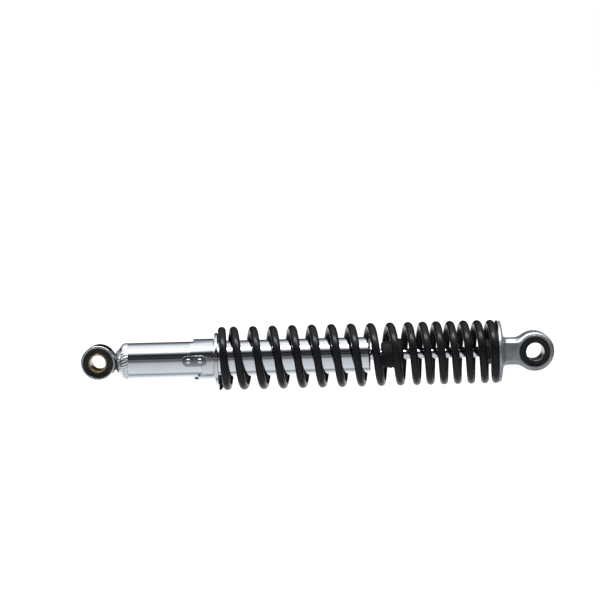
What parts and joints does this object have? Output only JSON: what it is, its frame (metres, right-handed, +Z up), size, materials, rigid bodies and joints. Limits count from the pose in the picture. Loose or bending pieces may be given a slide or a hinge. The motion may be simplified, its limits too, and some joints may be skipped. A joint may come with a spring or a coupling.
{
  "type": "rear shock absorber",
  "caption": "Motorcycle rear shock absorber: black progressive coil spring over a chrome damper tube, stepped preload cam, and rubber-bushed eyes at both ends.",
  "frame": {"origin": "centre of the upper eye, where the bolt through it holds the shock up", "axes": "+X along the shock from the lower eye to the upper eye, +Y along both eyes' bolts, +Z up"},
  "size_m": [0.3685, 0.0492, 0.0498],
  "materials": {
    "chrome_tube": "polished chrome plate",
    "chrome_rings": "bright plated steel",
    "chrome_rod": "hard chrome, ground",
    "cast_aluminium": "satin cast and tumbled",
    "black_spring": "semi-gloss black powder coat",
    "rubber": "moulded, matt",
    "zinc_yellow": "yellow zinc plate",
    "dark_steel": "dark zinc plate",
    "inner_steel": "machined",
    "bronze": "sintered",
    "white_polymer": "moulded"
  },
  "bodies": {
    "upper_body": {"upper_eye_casting": "cast_aluminium", "upper_bush": "rubber", "rod_locknut": "dark_steel", "piston_rod": "chrome_rod", "rebound_stop": "rubber", "check_valve_plate": "inner_steel", "piston": "inner_steel", "piston_band": "white_polymer", "rebound_shim_1": "inner_steel", "rebound_shim_2": "inner_steel", "rebound_shim_3": "inner_steel", "piston_nut": "dark_steel", "coil_spring": "black_spring"},
    "lower_body": {"body_tube": "chrome_tube", "lower_eye_ring": "chrome_rings", "eye_neck": "dark_steel", "lower_bush": "rubber", "adjuster_lug_front": "chrome_tube", "adjuster_lug_rear": "chrome_tube", "lug_rivet_front_1": "chrome_tube", "lug_rivet_front_2": "chrome_tube", "lug_rivet_rear_1": "chrome_tube", "lug_rivet_rear_2": "chrome_tube", "pressure_cylinder": "inner_steel", "foot_valve_body": "inner_steel", "foot_valve_disc": "inner_steel", "foot_valve_pin": "inner_steel", "rod_guide": "inner_steel", "guide_bushing": "bronze", "guide_o_ring": "rubber", "oil_seal": "rubber", "seal_retainer": "inner_steel"},
    "bump_stop": {"bump_rubber": "rubber"},
    "spring_seat": {"spring_seat_ring": "chrome_rings"},
    "cam": {"preload_cam": "chrome_rings"},
    "upper_bolt_sleeve": {"upper_sleeve": "zinc_yellow"},
    "lower_bolt_sleeve": {"lower_sleeve": "zinc_yellow"}
  },
  "joints": [
    {"name": "compression", "type": "slide", "parent": "upper_body", "child": "lower_body", "axis": [1, 0, 0], "range_m": [0, 0.07], "stiffness_N_per_m": 20000, "springref_m": -0.01, "deforming": ["coil_spring"]},
    {"name": "bump_slide", "type": "slide", "parent": "upper_body", "child": "bump_stop", "axis": [1, 0, 0], "range_m": [0, 0.0625]},
    {"name": "preload_lift", "type": "slide", "parent": "lower_body", "child": "spring_seat", "axis": [1, 0, 0], "range_m": [0, 0.012]},
    {"name": "preload_turn", "type": "hinge", "parent": "spring_seat", "child": "cam", "pos_m": [-0.26, 0, 0], "axis": [-1, 0, 0], "range_deg": [0, 144]},
    {"name": "upper_bush_twist", "type": "hinge", "parent": "upper_body", "child": "upper_bolt_sleeve", "pos_m": [0, 0, 0], "axis": [0, 1, 0], "range_deg": [-12, 12], "stiffness_Nm_per_rad": 2},
    {"name": "lower_bush_twist", "type": "hinge", "parent": "lower_body", "child": "lower_bolt_sleeve", "pos_m": [-0.34, 0, 0], "axis": [0, 1, 0], "range_deg": [-12, 12], "stiffness_Nm_per_rad": 2}
  ],
  "couplings": [
    {"joint": "bump_slide", "follows": "compression", "ratio": 0.89},
    {"joint": "preload_turn", "follows": "preload_lift", "rad_per_m": 209.44}
  ]
}
